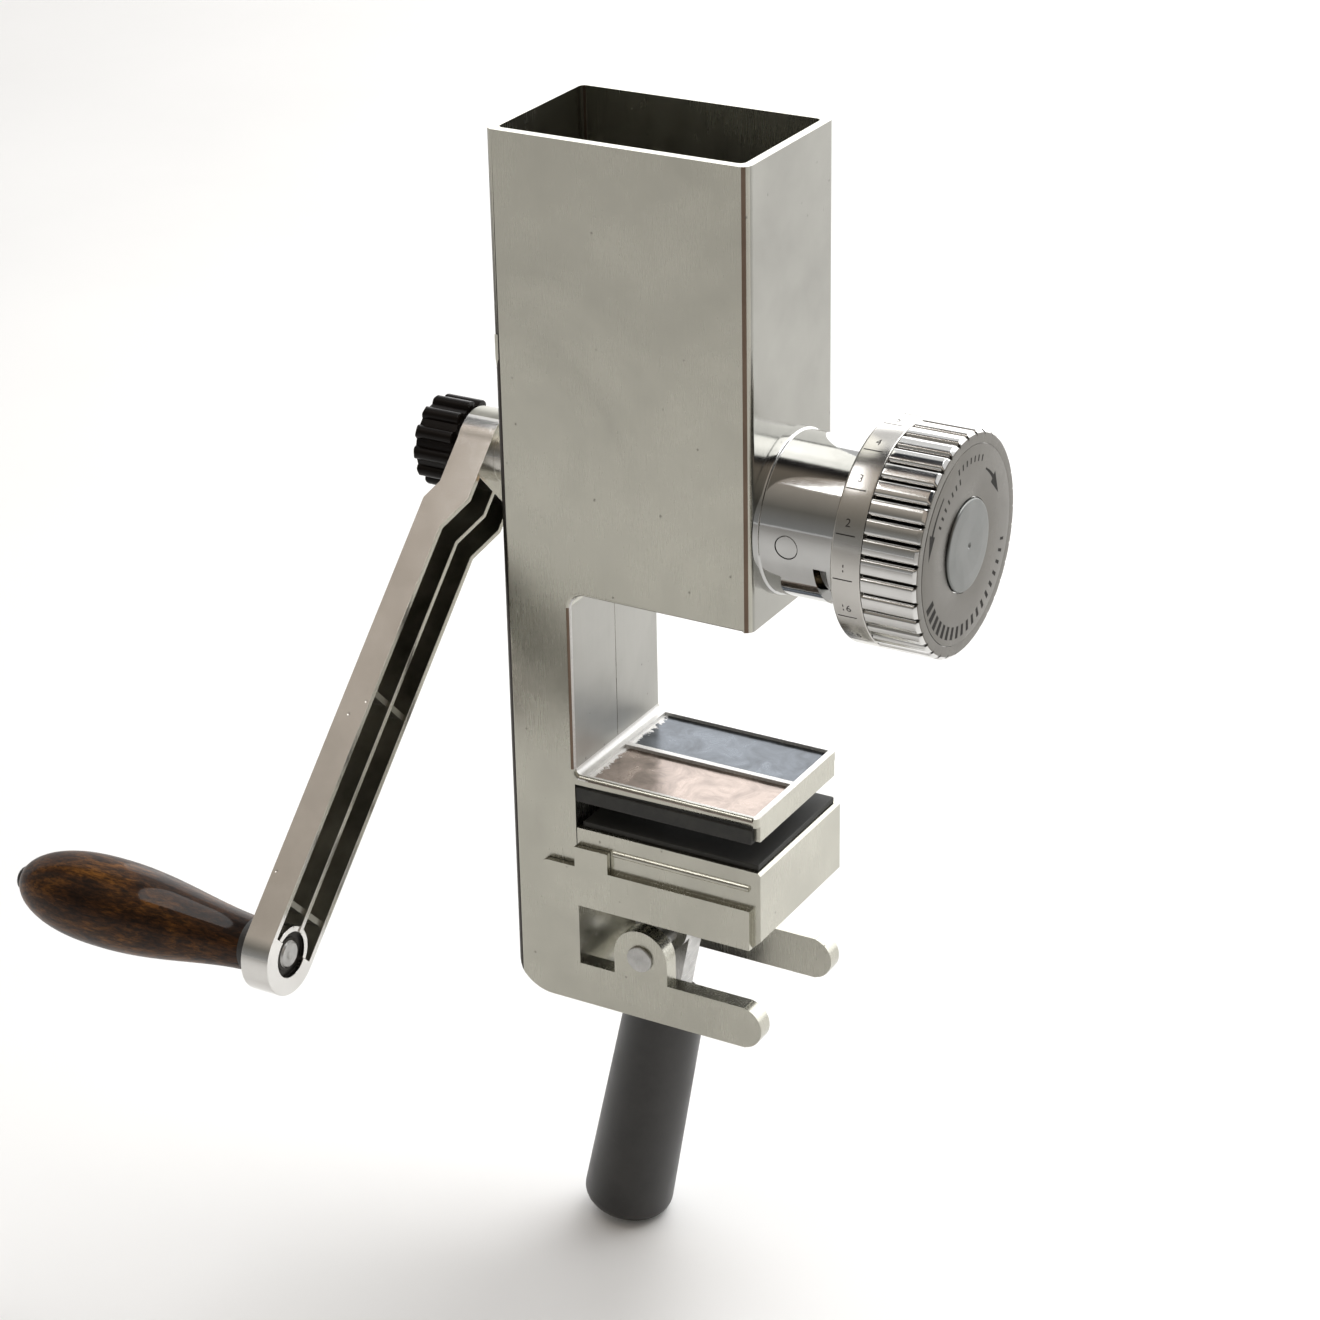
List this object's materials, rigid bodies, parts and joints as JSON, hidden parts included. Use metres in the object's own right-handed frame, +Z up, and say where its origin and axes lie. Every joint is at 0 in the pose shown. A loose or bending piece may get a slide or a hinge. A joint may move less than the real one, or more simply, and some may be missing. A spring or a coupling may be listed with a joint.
{
  "type": "grain mill",
  "caption": "Hand-cranked grain mill: tall square hopper on a C-shaped cast body, burr neck with fluted adjusting knob, wooden crank grip and cam-lever table clamp.",
  "frame": {"origin": "centre of the upper clamp pad's lower face, where the mill rests on the table top", "axes": "+X along the shaft from the crank to the adjusting knob, +Z up, +Y to the left seen from the knob's end"},
  "size_m": [0.2774, 0.1786, 0.3987],
  "materials": {
    "cast_aluminium": "satin polished",
    "polished_metal": "polished",
    "steel": "machined",
    "bronze": "sintered",
    "black_plastic": "satin",
    "brown_plastic": "moulded",
    "rubber": "matt",
    "felt": "matt",
    "varnished_wood": "varnished"
  },
  "bodies": {
    "frame": {"housing": "cast_aluminium", "rear_bushing": "bronze", "rear_seal": "felt", "grinder_neck": "polished_metal", "neck_lock_pins": "polished_metal", "burr_ring": "steel", "front_bushing": "bronze", "clamp_pad": "rubber", "pivot_pin": "polished_metal", "pivot_clip": "steel", "return_spring": "steel"},
    "adjuster": {"thrust_plug": "steel"},
    "knob": {"scale_ring": "polished_metal", "adjusting_knob": "polished_metal", "dial_plate": "polished_metal", "hub_disc": "polished_metal"},
    "crank": {"drive_shaft": "steel", "spring_washer": "steel", "feed_auger": "steel", "burr_cone": "steel", "burr_nut": "steel", "crank_arm": "cast_aluminium", "crank_washer": "steel", "crank_nut": "brown_plastic", "grip_axle": "steel", "grip_washer": "black_plastic"},
    "grip": {"wood_grip": "varnished_wood", "grip_end_cap": "black_plastic"},
    "jaw": {"lower_jaw": "cast_aluminium", "wear_plate": "steel", "jaw_pad": "rubber", "slide_block": "steel", "slide_screws": "steel"},
    "lever": {"lever_cam": "steel", "lever_grip": "black_plastic"}
  },
  "joints": [
    {"name": "adjust_slide", "type": "slide", "parent": "frame", "child": "adjuster", "axis": [1, 0, 0], "range_m": [0, 0.00113]},
    {"name": "knob_turn", "type": "hinge", "parent": "adjuster", "child": "knob", "pos_m": [0, 0, 0.1056], "axis": [1, 0, 0], "range_deg": [0, 270]},
    {"name": "crank_turn", "type": "hinge", "parent": "adjuster", "child": "crank", "pos_m": [0, 0, 0.1056], "axis": [1, 0, 0], "continuous": true},
    {"name": "grip_spin", "type": "hinge", "parent": "crank", "child": "grip", "pos_m": [-0.135, -0.12804, -0.01805], "axis": [1, 0, 0], "continuous": true},
    {"name": "clamp_lever", "type": "hinge", "parent": "frame", "child": "lever", "pos_m": [-0.0091, 0, -0.053], "axis": [0, -1, 0], "range_deg": [0, 80]},
    {"name": "jaw_lift", "type": "slide", "parent": "frame", "child": "jaw", "axis": [0, 0, 1], "range_m": [-0.0051, 0]}
  ],
  "couplings": [
    {"joint": "adjust_slide", "follows": "knob_turn", "m_per_rad": 0.00023873},
    {"joint": "jaw_lift", "follows": "clamp_lever", "m_per_rad": -0.003581}
  ]
}
